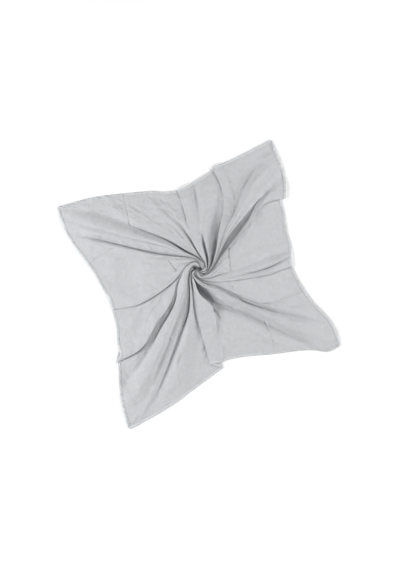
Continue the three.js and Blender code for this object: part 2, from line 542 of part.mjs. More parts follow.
// One side's hem, mitred to its neighbours with a gap.
function hem(firstCorner, nextCorner) {
  const total = COLUMNS.length;
  const cornerAt = (name) => COLUMNS.findIndex((column) => column.corner
    && RAILS[column.rail].fold.name === name);
  const start = cornerAt(firstCorner);
  const count = ((cornerAt(nextCorner) - start + total) % total) + 1;
  const columns = Array.from({ length: count }, (_, k) => COLUMNS[(start + k) % total]);
  const half = HEM_THICK / 2;
  const rows = middleSurface(columns, [
    columns.map((column) => insetStation(column, HEM_WIDTH)),
    columns.map(() => 1),
  ], half);
  const mitre = HEM_GAP / Math.SQRT2;
  [0, count - 1].forEach((c) => {
    const toward = c === 0 ? 1 : count - 2;
    const [x, y, z] = cornerPlace(columns[c], HEM_WIDTH);
    rows[0][c].set(x, y, z + half);
    rows.forEach((row) => {
      const along = new THREE.Vector3().subVectors(rows[1][toward], rows[1][c]).setZ(0).normalize();
      row[c].addScaledVector(along, mitre);
    });
  });
  return skinOf(facesOf(rows, half, false), false);
}

const SOLIDS = {
  cloth_panel: clothPanel(),
  hem_north: hem("corner_north_west", "corner_north_east"),
  hem_east: hem("corner_north_east", "corner_south_east"),
  hem_south: hem("corner_south_east", "corner_south_west"),
  hem_west: hem("corner_south_west", "corner_north_west"),
};

// The origin is under the middle of the whole outline, on the ground.
const outline = new THREE.Box3();
Object.values(SOLIDS).forEach(({ points }) => points.forEach((p) => outline.expandByPoint(p)));
const middle = outline.getCenter(new THREE.Vector3());

function clothMesh(name, { points, triangles }) {
  const places = points.flatMap((p) => [p.x - middle.x, p.y - middle.y, p.z]);
  const geometry = new THREE.BufferGeometry();
  geometry.setAttribute("position", new THREE.Float32BufferAttribute(places, 3));
  geometry.setIndex(triangles);
  geometry.computeVertexNormals();
  const voile = new THREE.MeshStandardMaterial({ color: 0xc8cbce, roughness: 0.9, metalness: 0 });
  const mesh = new THREE.Mesh(geometry, voile);
  mesh.name = name;
  return mesh;
}

const underscarf = new THREE.Group();
Object.entries(SOLIDS).forEach(([name, solid]) => underscarf.add(clothMesh(name, solid)));

export default underscarf;
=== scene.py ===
"""A pale-grey square cotton underscarf, laid flat with its middle pinched and twisted into folds."""
import math

import bpy
import numpy as np
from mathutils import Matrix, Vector


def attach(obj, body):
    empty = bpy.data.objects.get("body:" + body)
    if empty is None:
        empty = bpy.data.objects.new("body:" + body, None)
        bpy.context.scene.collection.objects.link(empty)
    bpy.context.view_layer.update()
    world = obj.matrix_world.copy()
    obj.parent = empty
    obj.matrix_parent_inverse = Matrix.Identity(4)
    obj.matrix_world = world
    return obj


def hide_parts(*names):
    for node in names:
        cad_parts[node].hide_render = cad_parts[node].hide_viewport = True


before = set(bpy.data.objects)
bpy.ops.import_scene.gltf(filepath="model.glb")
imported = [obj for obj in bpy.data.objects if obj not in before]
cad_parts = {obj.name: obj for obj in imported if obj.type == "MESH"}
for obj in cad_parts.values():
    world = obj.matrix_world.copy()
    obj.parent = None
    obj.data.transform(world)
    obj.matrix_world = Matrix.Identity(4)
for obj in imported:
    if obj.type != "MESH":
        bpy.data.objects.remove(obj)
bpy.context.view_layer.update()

# The voile square: one piece of thin plain-woven cotton, cut square and laid on a table. Its middle
# is pinched and twisted, so ridges, valleys and knife pleats run from a sunk swirl to the hems.
FLAT_SIDE = 0.9
HEM_WIDTH = 0.008
VOILE_THICK = 0.0006
MOUND_HEIGHT = 0.034

# The swirl: the degrees that its core is turned, the share of that turn and of each fold's own rise
# that is left halfway in, the core's radius and rise, and how the layers of a pleat spread there.
SWIRL_TWIST = 120
COIL_LAG = 0.5
COIL_BLEND = 0.55
CORE_RADIUS = 0.007
CORE_RISE = 0.5
CORE_SPREAD = 0.00015
CORE_LAYERS = 2.5

# A pleat's turned edge: the pitch of its layers, how far its nose is rounded and which share of the
# step down it takes, how far its tuck reaches at the swirl, and over what width its hem drops.
PLEAT_PITCH = 0.0016
NOSE_ROUND = 0.004
NOSE_SHARE = 0.45
SWIRL_TUCK = 0.002
DROP_REACH = 0.008

# How much steeper than straight a sharp fold runs down, and the least span counted between two lines.
SHARP_SLOPE = 2.2
LEAST_SPAN = 5e-5

# Where the named stations lie along each fold line, from the core to the hem, and how far from the
# swirl's centre the line is there, as shares of the flat side. Midway is halfway from outer to hem.
CORE, COIL, SWIRL, THROAT, INNER, OUTER, MIDWAY, HEM = 0, 0.06, 0.13, 0.2, 0.32, 0.6, 0.8, 1
SWIRL_SHARE, THROAT_SHARE, INNER_SHARE, OUTER_SHARE = 0.049, 0.085, 0.14, 0.26

# Between these stations the cloth beside a corner turns from a smooth curve into two straight sides.
CORNER_START, CORNER_END = 0.8, 0.97

# The two hollows beside the centre: x, y as shares of the swirl radius, depth and radius in metres.
WELLS = [(-0.28, 0.22, 0.015, 0.008), (0.14, 0, 0.013, 0.008)]

# One row for each fold line, clockwise from the north-west corner: its hem's plan place as shares
# of the flat side from the swirl's centre, its bearings in degrees at midway, outer, inner, throat
# and swirl, its rise at hem, midway, outer, inner, throat and swirl as shares of the mound, and
# how crisp it is, from 0 for round to 1 for sharp.
FOLD_COLUMNS = ("name", "hem", "bearing", "rise", "crisp")
FOLDS = [dict(zip(FOLD_COLUMNS, row)) for row in [
    ("corner_north_west", (-0.428, 0.389), (132.3, 127, 117.3, 109.5, 88),
     (0.03, 0.08, 0.05, 0.24, 0.24, 0.44), 0.6),
    ("north_lap_edge", (-0.3, 0.382), (124.5, 123, 112.5, 104, 81),
     (0.03, 0.2, 0.42, 0.62, 0.68, 0.76), 0.1),
    ("north_sheet", (-0.17, 0.357), (114.5, 111, 101, 93.5, 75.5), (0, 0.1, 0.2, 0.55, 0.66, 0.75), 0),
    ("north_low_ridge", (-0.115, 0.344), (106, 104.5, 95.5, 87, 71.5),
     (0, 0.12, 0.24, 0.56, 0.68, 0.78), 0),
    ("north_dart", (-0.08, 0.3355), (102.5, 101, 91.5, 82.8, 68.5),
     (0.01, 0.1, 0.24, 0.34, 0.42, 0.62), 0.8),
    ("north_inlet", (-0.025, 0.314), (96, 95, 88.3, 81.3, 66), (0.02, 0.1, 0.2, 0.45, 0.56, 0.68), 0.1),
    ("north_pleat", (0.018, 0.308), (86.3, 86, 84.3, 79.3, 62), (0.12, 0.22, 0.32, 0.64, 0.76, 0.82), 0),
    ("north_pleat_back", (0.055, 0.3085), (79.3, 78.5, 75, 69, 49),
     (0.17, 0.32, 0.4, 0.66, 0.78, 0.88), 0),
    ("north_slot", (0.077, 0.3155), (75.1, 74.3, 68.5, 56.8, 33), (0, 0.02, 0.1, 0.54, 0.05, 0.1), 0.6),
    ("north_middle_sheet", (0.115, 0.3225), (68.8, 66.5, 61.5, 51, 23),
     (0.06, 0.22, 0.32, 0.6, 0.66, 0.74), 0),
    ("north_east_trough", (0.15, 0.333), (59.5, 54.3, 47.8, 36.5, 5),
     (0, 0.12, 0.1, 0.02, 0.04, 0.2), 0.7),
    ("quarter_pleat", (0.166, 0.3455), (56.8, 51, 41, 26, -1), (0.12, 0.28, 0.4, 0.78, 0.82, 0.85), 0),
    ("quarter_pleat_back", (0.193, 0.348), (54.2, 46, 38, 23.5, -3.5),
     (0.13, 0.28, 0.42, 0.84, 0.86, 0.88), 0),
    ("north_east_dip", (0.214, 0.349), (51.2, 41.5, 34.5, 20, -7), (0, 0.2, 0.44, 0.82, 0.84, 0.84), 0.2),
    ("corner_north_east", (0.409, 0.3745), (42.6, 40.2, 33.6, 18.8, -9),
     (0.03, 0.08, 0.42, 0.84, 0.86, 0.84), 0.1),
    ("north_east_ridge", (0.413, 0.294), (39, 36.8, 31.8, 18.4, -9.5),
     (0.08, 0.62, 0.8, 0.98, 0.96, 0.94), 0.3),
    ("north_east_crease", (0.414, 0.277), (36.3, 35, 30.4, 17.4, -10.5),
     (0.05, 0.48, 0.7, 0.86, 0.9, 0.9), 0),
    ("north_east_shoulder", (0.4145, 0.26), (33.4, 33, 29.3, 16.4, -12),
     (0.06, 0.52, 0.66, 0.84, 0.84, 0.82), 0),
    ("east_trough", (0.414, 0.24), (30.7, 30.8, 27.6, 15, -15), (0.03, 0.1, 0.03, 0, 0.06, 0.3), 0.9),
    ("east_trough_foot", (0.4135, 0.227), (29.4, 26.6, 19.8, 10.6, -18),
     (0.03, 0.1, 0.03, 0, 0.06, 0.3), 0.9),
    ("north_east_pleat_back", (0.407, 0.195), (27.8, 25.2, 18.6, 9.1, -21.5),
     (0.11, 0.28, 0.44, 0.66, 0.7, 0.7), 0),
    ("north_east_pleat", (0.393, 0.151), (26.6, 24.2, 17.3, 7.4, -24),
     (0.12, 0.3, 0.46, 0.7, 0.74, 0.74), 0),
    ("east_upper_sheet", (0.371, 0.106), (19, 18, 11, 0, -40), (0, 0.12, 0.22, 0.56, 0.66, 0.72), 0),
    ("east_sheet", (0.3585, 0.03), (5, 3.5, -4, -15, -53), (0, 0.06, 0.12, 0.46, 0.58, 0.68), 0),
    ("east_small_dart", (0.351, -0.041), (-8, -9, -19.7, -32, -63),
     (0.02, 0.08, 0.12, 0.3, 0.3, 0.4), 0.5),
    ("east_ridge", (0.345, -0.055), (-11.2, -15.4, -26, -36, -69), (0.1, 0.36, 0.4, 0.5, 0.52, 0.6), 0),
    ("east_slot", (0.342, -0.063), (-13.2, -17.1, -28.5, -40, -72),
     (0.07, 0.08, 0.04, 0.4, 0.5, 0.52), 0.4),
    ("east_crest", (0.339, -0.071), (-15.2, -19.9, -30.5, -42.5, -75),
     (0.12, 0.34, 0.4, 0.5, 0.52, 0.55), 0),
    ("east_pleat", (0.3345, -0.0985), (-19, -22.7, -35.2, -51, -81),
     (0.1, 0.2, 0.26, 0.46, 0.5, 0.52), 0),
    ("east_lower_sheet", (0.338, -0.13), (-24, -28, -42, -56, -85), (0, 0.06, 0.12, 0.42, 0.48, 0.52), 0),
    ("east_quarter_crease", (0.349, -0.196), (-39.4, -46.5, -54, -62.5, -89),
     (0.05, 0.12, 0.2, 0.5, 0.54, 0.58), 0.5),
    ("south_east_dip", (0.368, -0.25), (-39.9, -48, -55.2, -64, -90.5),
     (0, 0.06, 0.16, 0.48, 0.52, 0.58), 0),
    ("south_east_low_ridge", (0.387, -0.293), (-41.2, -49.2, -56.4, -65, -91.5),
     (0.03, 0.16, 0.24, 0.5, 0.55, 0.6), 0),
    ("south_east_groove", (0.404, -0.334), (-45.2, -51.4, -59.2, -68.5, -94),
     (0.03, 0.06, 0.14, 0.48, 0.54, 0.54), 0.8),
    ("south_east_ridge", (0.4106, -0.375), (-47, -53.2, -62, -73, -110),
     (0.09, 0.66, 0.74, 0.9, 0.9, 0.9), 0.1),
    ("corner_south_east", (0.412, -0.436), (-50.8, -55.8, -67.5, -78, -114),
     (0.02, 0.52, 0.64, 0.8, 0.84, 0.86), 0.2),
    ("south_east_hem_turn", (0.355, -0.4415), (-53, -56.9, -69.8, -80.5, -115.5),
     (0.05, 0.3, 0.34, 0.44, 0.5, 0.7), 0),
    ("south_trough", (0.325, -0.427), (-55, -59.2, -74.5, -84.5, -117),
     (0, 0.02, 0.02, 0.14, 0.2, 0.26), 0.2),
    ("south_sheet", (0.165, -0.3875), (-69, -74, -87.6, -90.5, -119.5),
     (0, 0.02, 0.04, 0.03, 0, 0.05), 0),
    ("flap_foot", (-0.02, -0.3535), (-91.5, -92.5, -91, -111, -128),
     (0, 0.02, 0.05, 0.04, 0.02, 0.06), 0.3),
    ("flap_ridge", (-0.031, -0.3535), (-93.5, -94, -90.5, -109.5, -127),
     (0.13, 0.17, 0.18, 0.44, 0.74, 0.85), 0.2),
    ("south_pleat", (-0.073, -0.344), (-103.2, -105, -114.5, -122.2, -139),
     (0.12, 0.2, 0.3, 0.6, 0.68, 0.74), 0),
    ("south_dip", (-0.172, -0.4215), (-110.5, -108.2, -116.4, -124, -141.5),
     (0, 0.08, 0.14, 0.5, 0.58, 0.3), 0),
    ("south_ridge", (-0.2286, -0.439), (-118.4, -119, -121.7, -130.5, -152),
     (0.05, 0.4, 0.55, 0.88, 0.9, 0.86), 0),
    ("south_west_trough", (-0.372, -0.473), (-127, -125.2, -123, -131.8, -156),
     (0, 0.04, 0.02, 0.06, 0.14, 0.3), 0.5),
    ("south_west_lip", (-0.405, -0.479), (-128.4, -127.4, -127, -135, -160),
     (0.02, 0.34, 0.48, 0.56, 0.66, 0.62), 0),
    ("corner_south_west", (-0.438, -0.4825), (-130.4, -131.7, -134.5, -140.5, -163.5),
     (0.02, 0.3, 0.46, 0.7, 0.78, 0.72), 0.1),
    ("south_west_ridge", (-0.4335, -0.396), (-134.5, -135, -140, -147, -174),
     (0.09, 0.75, 0.85, 0.96, 0.92, 0.88), 0),
    ("west_lip", (-0.428, -0.355), (-138.7, -139.8, -144.4, -158, -194),
     (0.05, 0.6, 0.7, 0.84, 0.84, 0.82), 0),
    ("west_trough", (-0.424, -0.335), (-140.2, -141.4, -146.2, -168, -207.5),
     (0.02, 0.04, 0.02, 0.38, 0.62, 0.66), 0.8),
    ("south_west_pleat", (-0.405, -0.233), (-144.6, -146.4, -151, -171, -209),
     (0.1, 0.36, 0.5, 0.6, 0.68, 0.68), 0),
    ("south_west_pleat_back", (-0.379, -0.206), (-148.5, -149.5, -153.5, -173, -210.5),
     (0.12, 0.3, 0.42, 0.58, 0.66, 0.68), 0),
    ("west_low_groove", (-0.376, -0.166), (-153.5, -155.2, -165.5, -175.5, -211.7),
     (0, 0.08, 0.16, 0.44, 0.54, 0.58), 0),
    ("west_lower_sheet", (-0.363, -0.115), (-161, -161.5, -167.7, -177, -212.5),
     (0, 0.1, 0.18, 0.42, 0.54, 0.6), 0),
    ("west_pleat", (-0.354, -0.04), (-171, -168.3, -169.5, -178.2, -214),
     (0.1, 0.2, 0.34, 0.6, 0.66, 0.66), 0),
    ("west_pleat_back", (-0.352, 0), (-178.5, -176.5, -177, -183.5, -217.5),
     (0.09, 0.16, 0.24, 0.5, 0.6, 0.64), 0),
    ("west_dip", (-0.363, 0.041), (-186.2, -186.5, -189, -195.5, -224),
     (0, 0.06, 0.12, 0.42, 0.5, 0.58), 0),
    ("west_sheet", (-0.3755, 0.106), (-197, -198.5, -202.5, -209, -232.5),
     (0, 0.08, 0.16, 0.5, 0.6, 0.68), 0),
    ("west_quarter_crease", (-0.3915, 0.164), (-205.5, -207.5, -212.5, -221, -243.5),
     (0.05, 0.16, 0.26, 0.56, 0.66, 0.72), 0.2),
    ("west_upper_lip", (-0.4235, 0.268), (-213.4, -214.4, -219, -230.5, -257),
     (0.03, 0.38, 0.5, 0.66, 0.7, 0.74), 0.2),
    ("north_west_groove", (-0.427, 0.285), (-215, -216.2, -221.4, -233, -258.5),
     (0.03, 0.05, 0.04, 0.1, 0.22, 0.4), 0.9),
    ("north_west_ridge", (-0.4285, 0.325), (-218.4, -222, -231, -239, -263.5),
     (0.12, 0.64, 0.76, 0.92, 0.92, 0.9), 0.1),
    ("north_west_crease", (-0.43, 0.342), (-220.4, -224, -233.2, -242, -266),
     (0.08, 0.54, 0.66, 0.82, 0.86, 0.86), 0),
    ("north_west_upper_ridge", (-0.43, 0.362), (-222.2, -226.2, -237, -246.5, -269.5),
     (0.05, 0.58, 0.7, 0.86, 0.88, 0.88), 0),
]]

# The knife pleats among them. facing is 1 where the cloth after the edge lies on top, going
# clockwise, and -1 where the cloth before it does. The under layer reaches tuck behind the edge at
# hem, outer and inner, its hem lies drop nearer the centre, and under is its rise.
PLEAT_COLUMNS = ("facing", "tuck", "drop", "under")
PLEATS = {
    "north_pleat": (1, (0.038, 0.034, 0.012), 0.009, (0, 0.1, 0.22, 0.56, 0.68, 0.76)),
    "quarter_pleat": (1, (0.026, 0.024, 0.008), 0.009, (0, 0.12, 0.28, 0.05, 0.1, 0.2)),
    "north_east_pleat": (-1, (0.034, 0.01, 0.005), 0.02, (0, 0.12, 0.34, 0.58, 0.64, 0.66)),
    "east_pleat": (-1, (0.015, 0.014, 0.006), 0, (0, 0.1, 0.14, 0.28, 0.32, 0.36)),
    "south_pleat": (-1, (0.042, 0.04, 0.02), -0.03, (0, 0.03, 0.14, 0.54, 0.64, 0.7)),
    "south_west_pleat": (1, (0.027, 0.012, 0.006), 0.024, (0, 0.1, 0.36, 0.5, 0.6, 0.6)),
    "west_pleat": (1, (0.034, 0.03, 0.012), -0.006, (0, 0.06, 0.08, 0.2, 0.4, 0.5)),
}


def hermite(a, slope_a, b, slope_b, s):
    """The cubic from a to b that leaves and arrives at the given slopes."""
    s2, s3 = s * s, s * s * s
    return (a * (2 * s3 - 3 * s2 + 1) + slope_a * (s3 - 2 * s2 + s)
            + b * (3 * s2 - 2 * s3) + slope_b * (s3 - s2))


def knee_slope(step_before, step_after, span_before, span_after, monotone):
    """The slope at a knot: the weighted mean of its sides, or for a height one without overshoot."""
    before, after = step_before / span_before, step_after / span_after
    if not monotone:
        return (before * span_after + after * span_before) / (span_before + span_after)
    total = np.where(np.abs(before + after) < 1e-12, 1, before + after)
    return np.where(before * after <= 0, 0, 2 * before * after / total)


def along_knots(at, values, places, monotone):
    """A smooth curve through knots, evaluated at many places."""
    at, values = np.asarray(at, float), np.asarray(values, float)
    spans, steps = np.diff(at), np.diff(values)
    slopes = np.empty_like(values)
    slopes[0], slopes[-1] = steps[0] / spans[0], steps[-1] / spans[-1]
    slopes[1:-1] = knee_slope(steps[:-1], steps[1:], spans[:-1], spans[1:], monotone)
    i = np.clip(np.searchsorted(at, places, "right") - 1, 0, len(at) - 2)
    return hermite(values[i], slopes[i] * spans[i], values[i + 1], slopes[i + 1] * spans[i],
                   (places - at[i]) / spans[i])


def polar(bearing, radius):
    """The plan place at a bearing in degrees and a distance from the swirl's centre."""
    return radius * math.cos(math.radians(bearing)), radius * math.sin(math.radians(bearing))


def fold_place(fold, t):
    """The plan place of a fold line at stations t: straight outside the swirl, coiled inside it."""
    hem = tuple(share * FLAT_SIDE for share in fold["hem"])
    midway, outer, inner, throat, swirl = fold["bearing"]
    places = [
        polar(swirl - SWIRL_TWIST, CORE_RADIUS),
        polar(swirl - SWIRL_TWIST * COIL_LAG, (CORE_RADIUS + SWIRL_SHARE * FLAT_SIDE) / 2),
        polar(swirl, SWIRL_SHARE * FLAT_SIDE),
        polar(throat, THROAT_SHARE * FLAT_SIDE),
        polar(inner, INNER_SHARE * FLAT_SIDE),
        polar(outer, OUTER_SHARE * FLAT_SIDE),
        polar(midway, (OUTER_SHARE * FLAT_SIDE + math.hypot(*hem)) / 2),
        hem,
    ]
    at = (CORE, COIL, SWIRL, THROAT, INNER, OUTER, MIDWAY, HEM)
    return np.stack([along_knots(at, axis, t, False) for axis in zip(*places)], axis=-1)


def height_along(rise, t):
    """The height of a fold line at stations t, from its rises at the named stations."""
    hem, midway, outer, inner, throat, swirl = rise
    coil = CORE_RISE + (swirl - CORE_RISE) * COIL_BLEND
    at = (CORE, COIL, SWIRL, THROAT, INNER, OUTER, MIDWAY, HEM)
    rises = (CORE_RISE, coil, swirl, throat, inner, outer, midway, hem)
    return MOUND_HEIGHT * along_knots(at, rises, t, True)


def across(fold, t):
    """The unit vector across a fold line, pointing clockwise."""
    reach = 0.02
    step = fold_place(fold, np.minimum(1, t + reach)) - fold_place(fold, np.maximum(0, t - reach))
    step /= np.linalg.norm(step, axis=-1, keepdims=True)
    return np.stack([step[..., 1], -step[..., 0]], axis=-1)


def pleat_rail(fold, pleat, order, level, bulge, hidden):
    """One line of a pleat's turned edge, or of the turn hidden under it."""
    def at(t):
        room = np.minimum(1, t / SWIRL)
        pitch = PLEAT_PITCH * room
        low = height_along(pleat["under"], t)
        top = np.maximum(height_along(fold["rise"], t), low + 2 * pitch)
        if hidden:
            tuck = (0, SWIRL_TUCK, *reversed(pleat["tuck"]))
            reach = along_knots((CORE, SWIRL, INNER, OUTER, HEM), tuck, t, True) * FLAT_SIDE
            sideways, height = reach + pitch / 2 * bulge, low + pitch * level
        else:
            nose = np.maximum(pitch, (top - low) * NOSE_SHARE)
            sideways = np.minimum(NOSE_ROUND, nose / 2) * (1 - bulge)
            height = top - nose * (1 - level)
        facing = pleat["facing"]
        inward = pleat["drop"] * FLAT_SIDE * t ** 3 * np.minimum(1, np.abs(sideways) / DROP_REACH)
        move = sideways * facing * room + order * facing * CORE_SPREAD * (1 - room)
        side = across(fold, t)
        x = fold_place(fold, t)[..., 0] + side[..., 0] * move + side[..., 1] * inward
        y = fold_place(fold, t)[..., 1] + side[..., 1] * move - side[..., 0] * inward
        return np.stack([x, y, height], axis=-1)
    return at


def fold_rails(fold, pieces, turn_steps):
    """Rails are the lines that the cloth is stretched between: one for a fold, more for a pleat."""
    if fold["name"] not in PLEATS:
        def at(t):
            height = height_along(fold["rise"], t)[..., None]
            return np.concatenate([fold_place(fold, t), height], axis=-1)
        return [{"fold": fold, "turned": False, "crisp": fold["crisp"], "pieces": pieces, "at": at}]
    pleat = dict(zip(PLEAT_COLUMNS, PLEATS[fold["name"]]))
    rails = []
    for hidden in (True, False):
        for k in range(turn_steps + 1):
            angle = math.pi * k / turn_steps
            order = ((len(rails) + 0.5) / (turn_steps + 1) - 1) * CORE_LAYERS
            at = pleat_rail(fold, pleat, order, (1 - math.cos(angle)) / 2, math.sin(angle), hidden)
            rails.append({"fold": fold, "turned": True, "crisp": 0, "pieces": 1, "at": at})
    if pleat["facing"] < 0:
        rails.reverse()
    rails[turn_steps]["pieces"] = max(2, pieces // 2)
    rails[-1]["pieces"] = pieces
    return rails


def cloth_place(rails, i, s, t):
    """The cloth's middle line over stations t, share s of the way from rail i to the next one."""
    near = [rails[(i + k) % len(rails)] for k in (-1, 0, 1, 2)]
    points = [rail["at"](t) for rail in near]
    spans = [np.maximum(LEAST_SPAN, np.hypot(*(b - a)[:, :2].T)) for a, b in zip(points, points[1:])]

    def slope(axis, knot):
        own = near[knot]
        step = points[2][:, axis] - points[1][:, axis]
        knee = knee_slope(points[knot][:, axis] - points[knot - 1][:, axis],
                          points[knot + 1][:, axis] - points[knot][:, axis],
                          spans[knot - 1], spans[knot], axis == 2) * spans[1]
        if axis == 2:
            return 0 * step if own["turned"] else knee + (step * SHARP_SLOPE - knee) * own["crisp"]
        if own["turned"]:
            return step
        if not own["fold"]["name"].startswith("corner"):
            return knee
        ramp = np.clip((t - CORNER_START) / (CORNER_END - CORNER_START), 0, 1)
        return knee + (step - knee) * ramp * ramp * (3 - 2 * ramp)

    place = np.stack([hermite(points[1][:, axis], slope(axis, 1), points[2][:, axis],
                              slope(axis, 2), s) for axis in range(3)], axis=-1)
    for x, y, depth, radius in WELLS:
        away = place[:, :2] - np.array([x, y]) * SWIRL_SHARE * FLAT_SIDE
        place[:, 2] -= depth * np.exp(-(away ** 2).sum(axis=1) / radius ** 2)
    place[:, 2] = np.maximum(0, place[:, 2])
    return place


# How finely the cloth is divided: rings from the core to the hem, closer together near the core,
# steps round a turned edge, and pieces between two fold lines.
RINGS = 108
RING_CROWDING = 1.15
TURN_STEPS = 4
PIECE_WIDTH = 0.0085
FEWEST_PIECES, MOST_PIECES = 3, 13


def hem_gap(fold):
    """How far apart a fold and the next one are at the hem."""
    near = FOLDS[(FOLDS.index(fold) + 1) % len(FOLDS)]
    return math.dist(fold["hem"], near["hem"]) * FLAT_SIDE


rails = []
for fold in FOLDS:
    pieces = min(MOST_PIECES, max(FEWEST_PIECES, round(hem_gap(fold) / PIECE_WIDTH)))
    rails += fold_rails(fold, pieces, TURN_STEPS)
columns = [(i, k / rail["pieces"]) for i, rail in enumerate(rails) for k in range(rail["pieces"])]


def is_corner(i, s):
    """Whether a column is a fold line that ends at a corner of the square."""
    return s == 0 and rails[i]["fold"]["name"].startswith("corner")


def inset_station(i, s, inset):
    """How far along its line a column meets the line that lies inset from the cloth's edge."""
    step, shift = 0.01, 0.05
    edge, back = cloth_place(rails, i, s, np.array([1.0, 1.0 - step]))
    run = (edge - back)[:2] / step
    if rails[i]["turned"] and (s == 0 or rails[i]["pieces"] == 1):
        along = across(rails[i]["fold"], np.array([1.0]))[0]
    else:
        along = (cloth_place(rails, i, s + shift, np.array([1.0]))[0] - edge)[:2]
        along /= np.linalg.norm(along)
    return 1 - inset / abs(run[0] * along[1] - run[1] * along[0])


def corner_place(i, inset):
    """Where the lines that lie inset from a corner's two sides meet."""
    edge = cloth_place(rails, i, 0, np.array([1.0]))[0]
    beside = 0.05
    sides = [cloth_place(rails, i - 1, 1 - beside, np.array([1.0]))[0] - edge,
             cloth_place(rails, i, beside, np.array([1.0]))[0] - edge]
    a, b = [side[:2] / np.linalg.norm(side[:2]) for side in sides]
    shift = (a + b) * inset / abs(a[0] * b[1] - a[1] * b[0])
    return edge + [shift[0], shift[1], 0]


# The panel ends halfway under its hems, which are turned round it.
PANEL_INSET = HEM_WIDTH / 2
ring_shares = np.linspace(0, 1, RINGS) ** RING_CROWDING
ends = [inset_station(i, s, PANEL_INSET) for i, s in columns]
cloth = np.stack(
    [cloth_place(rails, i, s, ring_shares * end) for (i, s), end in zip(columns, ends)], axis=1)
for c, (i, s) in enumerate(columns):
    if is_corner(i, s):
        cloth[-1, c] = corner_place(i, PANEL_INSET)
rim = np.stack([cloth_place(rails, i, s, np.array([1.0]))[0] for i, s in columns])
middle = (rim[:, :2].max(axis=0) + rim[:, :2].min(axis=0)) / 2

# Where each point lay when the cloth was flat, in metres from its middle, measured from the hem.
corners = [c for c, (i, s) in enumerate(columns) if is_corner(i, s)]
rim_steps = np.linalg.norm(np.diff(rim, axis=0, append=rim[:1]), axis=1)
along_rim = np.concatenate([[0], rim_steps.cumsum()])
flat_corners = FLAT_SIDE / 2 * np.array([(-1, 1), (1, 1), (1, -1), (-1, -1), (-1, 1)])
flat_rim = np.stack([np.interp(along_rim[:-1], [*along_rim[corners], along_rim[-1]], axis)
                     for axis in flat_corners.T], axis=-1)
run = np.linalg.norm(np.diff(cloth, axis=0), axis=2)
from_hem = PANEL_INSET + np.concatenate([run[::-1].cumsum(axis=0)[::-1], 0 * run[:1]])
flat_place = flat_rim * (1 - from_hem / np.linalg.norm(flat_rim, axis=1))[..., None]


def closed_sheet(name, grid, thick, flat, loop):
    """A closed two-faced mesh round a grid of points: a ring with a fan at its core, or a strip."""
    rings, width = grid.shape[:2]
    if loop:
        around = np.roll(grid, -1, axis=1) - np.roll(grid, 1, axis=1)
    else:
        around = np.gradient(grid, axis=1)
    normals = np.cross(around, np.gradient(grid, axis=0))
    normals /= np.maximum(1e-12, np.linalg.norm(normals, axis=-1, keepdims=True))
    half = np.broadcast_to(np.asarray(thick) / 2, grid.shape[:2])[..., None]
    raised = grid + [0, 0, float(np.max(half))] - [*middle, 0]
    upper, lower = raised + normals * half, raised - normals * half
    lower[..., 2] = np.maximum(0, lower[..., 2])
    points = np.concatenate([upper.reshape(-1, 3), lower.reshape(-1, 3)])
    spans = width if loop else width - 1
    r, c = np.meshgrid(np.arange(rings - 1), np.arange(spans), indexing="ij")
    low, high, ahead = r * width, (r + 1) * width, (c + 1) % width
    top = np.stack([low + c, low + ahead, high + ahead, high + c], axis=-1).reshape(-1, 4)
    c = np.arange(spans)
    ahead, last, under = (c + 1) % width, (rings - 1) * width, rings * width
    rim = np.stack([last + c, last + ahead, under + last + ahead, under + last + c], axis=-1)
    faces = [*top.tolist(), *(top[:, ::-1] + under).tolist(), *rim.tolist()]
    if loop:
        points = np.concatenate([points, [upper[0].mean(axis=0), lower[0].mean(axis=0)]])
        tip = len(points) - 2
        faces += [[tip, int(b), int(a)] for a, b in zip(c, ahead)]
        faces += [[tip + 1, int(under + a), int(under + b)] for a, b in zip(c, ahead)]
    else:
        faces += np.stack([ahead, c, under + c, under + ahead], axis=-1).tolist()
        r = np.arange(rings - 1) * width
        faces += np.stack([r, r + width, under + r + width, under + r], axis=-1).tolist()
        r += width - 1
        faces += np.stack([r + width, r, under + r, under + r + width], axis=-1).tolist()
    mesh = bpy.data.meshes.new(name)
    mesh.from_pydata(points.tolist(), [], faces)
    mesh.polygons.foreach_set("use_smooth", np.ones(len(faces), bool))
    flat_places = np.concatenate([flat.reshape(-1, 2), flat.reshape(-1, 2), flat[0, :2]])
    angle = 2 * math.pi * (np.arange(rings * width) % width) / width
    turns = np.stack([np.cos(angle), np.sin(angle)], axis=-1)
    turns = np.concatenate([turns, turns, 0 * turns[:2]])
    corner_points = np.zeros(len(mesh.loops), int)
    mesh.loops.foreach_get("vertex_index", corner_points)
    mesh.uv_layers.new(name="flat_cloth").data.foreach_set("uv", flat_places[corner_points].ravel())
    mesh.uv_layers.new(name="fold_lines").data.foreach_set("uv", turns[corner_points].ravel())
    piece = bpy.data.objects.new(name, mesh)
    bpy.context.scene.collection.objects.link(piece)
    return piece


voile_cloth = closed_sheet("voile_cloth", cloth, VOILE_THICK, flat_place, True)


def add_node(tree, kind, inputs=(), **settings):
    """A shader node whose inputs are linked to sockets or set to values."""
    node = tree.nodes.new(kind)
    for key, value in settings.items():
        setattr(node, key, value)
    for key, value in dict(inputs).items():
        if isinstance(value, bpy.types.NodeSocket):
            tree.links.new(value, node.inputs[key])
        else:
            node.inputs[key].default_value = value
    return node


def calc(tree, operation, a, b=0.0):
    """The result of one arithmetic node."""
    return add_node(tree, "ShaderNodeMath", {0: a, 1: b}, operation=operation).outputs[0]


def new_group(name, inputs, outputs):
    """An empty node group with named sockets, and its input and output nodes."""
    tree = bpy.data.node_groups.new(name, "ShaderNodeTree")
    for label, kind in inputs:
        tree.interface.new_socket(label, in_out="INPUT", socket_type=kind)
    for label, kind in outputs:
        tree.interface.new_socket(label, in_out="OUTPUT", socket_type=kind)
    return tree, tree.nodes.new("NodeGroupInput"), tree.nodes.new("NodeGroupOutput")


